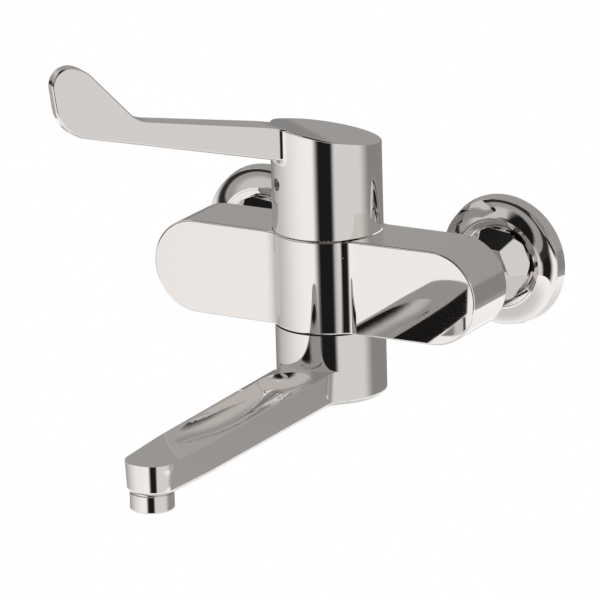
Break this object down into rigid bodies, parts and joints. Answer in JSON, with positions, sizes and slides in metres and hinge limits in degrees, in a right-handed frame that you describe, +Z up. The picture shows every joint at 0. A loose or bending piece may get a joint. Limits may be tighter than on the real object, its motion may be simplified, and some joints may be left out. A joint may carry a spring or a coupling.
{
  "type": "elbow lever tap",
  "caption": "Wall-mounted single-lever mixer tap with a long elbow lever, oval body, swivel spout and round rosettes.",
  "frame": {"origin": "on the wall, midway between the axes of the two supply threads", "axes": "+Y into the wall along the supply threads, +Z up, the room and the spout on the -Y side, +X to the right as seen from the room"},
  "size_m": [0.2242, 0.2893, 0.2144],
  "materials": {
    "chrome": "polished",
    "brass": "machined",
    "steel": "turned",
    "cartridge_plastic": "moulded",
    "ceramic": "ground ceramic",
    "seal": "moulded",
    "slide_plastic": "moulded",
    "plug_plastic": "glossy",
    "aerator_plastic": "moulded"
  },
  "bodies": {
    "fixed_body": {"body_casting": "chrome", "rosette_left": "chrome", "rosette_right": "chrome", "union_nut_left": "chrome", "union_nut_right": "chrome", "inlet_nipple_left": "chrome", "inlet_nipple_right": "chrome", "eccentric_union_left": "brass", "eccentric_union_right": "brass", "sieve_washer_left": "seal", "sieve_washer_right": "seal", "cartridge_base": "cartridge_plastic", "base_seals": "seal", "fixed_disc": "ceramic", "cartridge_housing": "cartridge_plastic", "retaining_nut": "brass", "cover_sleeve": "chrome", "outlet_spindle": "brass", "spindle_ring_upper": "seal", "spindle_ring_lower": "seal", "slide_washer": "slide_plastic", "slide_ring": "slide_plastic"},
    "spout": {"spout_casting": "chrome", "aerator_housing": "chrome", "aerator_washer": "seal", "aerator_insert": "aerator_plastic"},
    "turning_guide": {"stem_guide": "cartridge_plastic", "pivot_pin": "steel"},
    "sliding_disc": {"disc_carrier": "cartridge_plastic", "moving_disc": "ceramic"},
    "lever": {"lever_handle": "chrome", "lever_stem": "brass", "fixing_screw": "steel", "index_plug": "plug_plastic"}
  },
  "joints": [
    {"name": "spout_swivel", "type": "hinge", "parent": "fixed_body", "child": "spout", "pos_m": [0, -0.065, -0.055], "axis": [0, 0, 1], "range_deg": [-75, 75]},
    {"name": "lever_swivel", "type": "hinge", "parent": "fixed_body", "child": "turning_guide", "pos_m": [0, -0.065, 0.0255], "axis": [0, 0, 1], "range_deg": [-5, 75]},
    {"name": "lever_lift", "type": "hinge", "parent": "turning_guide", "child": "lever", "pos_m": [0, -0.065, 0.0255], "axis": [-0.8192, 0.5736, 0], "range_deg": [0, 20]},
    {"name": "disc_slide", "type": "slide", "parent": "turning_guide", "child": "sliding_disc", "axis": [-0.5736, -0.8192, 0], "range_m": [-0.0001, 0.0034]}
  ],
  "couplings": [
    {"joint": "disc_slide", "follows": "lever_lift", "m_per_rad": 0.0094}
  ]
}
